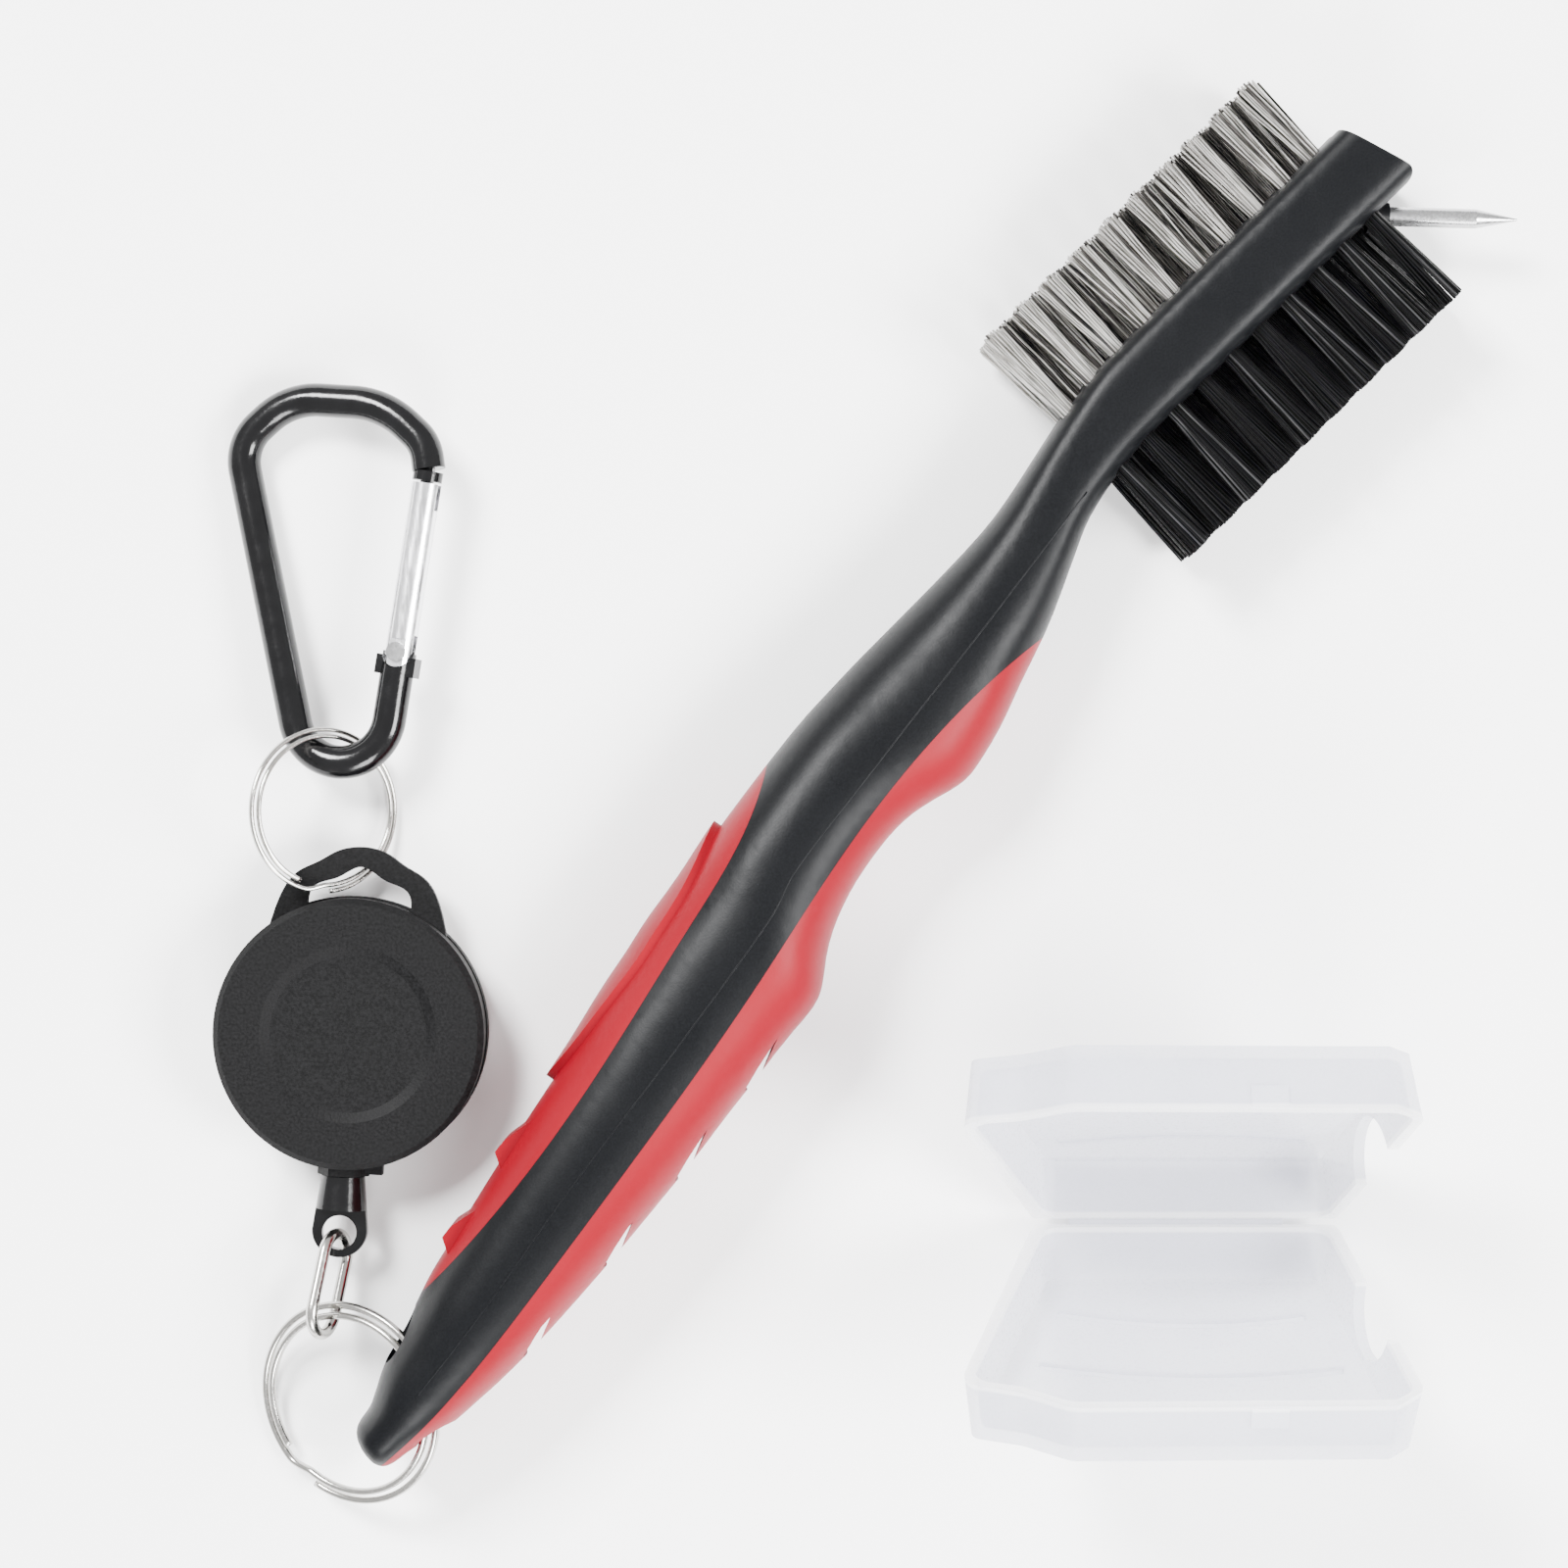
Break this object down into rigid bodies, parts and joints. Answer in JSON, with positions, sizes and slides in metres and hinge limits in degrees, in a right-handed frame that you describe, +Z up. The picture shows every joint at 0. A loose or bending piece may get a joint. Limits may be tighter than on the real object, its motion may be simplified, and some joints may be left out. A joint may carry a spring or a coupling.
{
  "type": "club groove brush",
  "caption": "Double-sided golf club groove brush with wire and nylon tufts, a steel groove pick, a two-tone grip, a retractable reel with carabiner, and an open hinged bristle cover.",
  "frame": {"origin": "middle of the set's footprint, on the surface it lies on", "axes": "+Z up from the table; +Y towards the carabiner and the brush head's end of the set; +X from the reel to the cover"},
  "size_m": [0.155, 0.1702, 0.0372],
  "materials": {
    "black_plastic": "fine-grained matte",
    "red_rubber": "satin",
    "wire_bristle": "bright wire",
    "nylon_bristle": "satin filament",
    "steel": "polished",
    "nickel_plate": "nickel-plated wire",
    "textured_black": "spark-textured matte",
    "spring_steel": "blued strip",
    "spool_plastic": "natural acetal",
    "cord": "braided",
    "gloss_black": "gloss",
    "black_aluminium": "gloss anodised",
    "bright_aluminium": "bright",
    "frosted_clear": "frosted polypropylene"
  },
  "bodies": {
    "brush": {"handle_core": "black_plastic", "thumb_grip": "red_rubber", "finger_grip": "red_rubber", "wire_tufts": "wire_bristle", "nylon_tufts": "nylon_bristle", "wire_tuft_anchors": "steel", "nylon_tuft_anchors": "steel", "groove_pick": "steel"},
    "handle_ring": {"handle_split_ring": "nickel_plate"},
    "link": {"oval_link": "nickel_plate"},
    "cord_end": {"cord_end_bell": "gloss_black", "cord_lead": "cord"},
    "reel": {"reel_back_cover": "textured_black", "reel_front_cover": "textured_black", "reel_body_ring": "textured_black", "cord_outlet_collar": "textured_black", "reel_post_cap": "spool_plastic", "reel_power_spring": "spring_steel"},
    "spool": {"reel_spool": "spool_plastic", "cord_winding": "cord"},
    "reel_ring": {"reel_split_ring": "nickel_plate"},
    "carabiner": {"carabiner_body": "black_aluminium", "gate_rivet": "steel"},
    "gate": {"carabiner_gate": "bright_aluminium", "gate_spring": "steel"},
    "cover_lower": {"cover_lower_half": "frosted_clear", "cover_living_hinge": "frosted_clear"},
    "cover_upper": {"cover_upper_half": "frosted_clear"}
  },
  "joints": [
    {"name": "ring_swing", "type": "hinge", "parent": "brush", "child": "handle_ring", "pos_m": [-0.05269, -0.06951, 0.0117], "axis": [0.3321, -0.9432, 0], "range_deg": [-30, 45]},
    {"name": "link_tilt", "type": "hinge", "parent": "handle_ring", "child": "link", "pos_m": [-0.06448, -0.06147, 0.00728], "axis": [-0.8549, -0.209, -0.4749], "range_deg": [-25, 25]},
    {"name": "bell_swing", "type": "hinge", "parent": "link", "child": "cord_end", "pos_m": [-0.06285, -0.05241, 0.00475], "axis": [0, 0, 1], "range_deg": [-10, 30]},
    {"name": "cord_pull", "type": "slide", "parent": "cord_end", "child": "reel", "axis": [0.061, 0.9981, 0], "range_m": [0, 0.6], "stiffness_N_per_m": 1.2, "springref_m": -0.4},
    {"name": "spool_turn", "type": "hinge", "parent": "reel", "child": "spool", "pos_m": [-0.06139, -0.02851, 0.00475], "axis": [0, 0, 1], "continuous": true},
    {"name": "reel_ring_swing", "type": "hinge", "parent": "reel", "child": "reel_ring", "pos_m": [-0.06449, -0.01126, 0.00653], "axis": [0.809, 0, -0.5878], "range_deg": [-45, 0]},
    {"name": "carabiner_swing", "type": "hinge", "parent": "reel_ring", "child": "carabiner", "pos_m": [-0.06249, 0.00979, 0.0056], "axis": [-0.2079, 0.0256, 0.9778], "range_deg": [-40, 40]},
    {"name": "gate_open", "type": "hinge", "parent": "carabiner", "child": "gate", "pos_m": [-0.05543, 0.01686, 0.00692], "axis": [-0.2079, 0.0256, 0.9778], "range_deg": [0, 25], "stiffness_Nm_per_rad": 0.05, "springref_deg": -11.46},
    {"name": "cover_lift", "type": "slide", "parent": "brush", "child": "cover_lower", "axis": [0, 0, 1], "range_m": [0, 0.06]},
    {"name": "cover_fold", "type": "hinge", "parent": "cover_lower", "child": "cover_upper", "pos_m": [0.03841, -0.05141, 0.00259], "axis": [1, 0, 0], "range_deg": [-129, 51]}
  ],
  "couplings": [
    {"joint": "spool_turn", "follows": "cord_pull", "rad_per_m": 111.1}
  ]
}
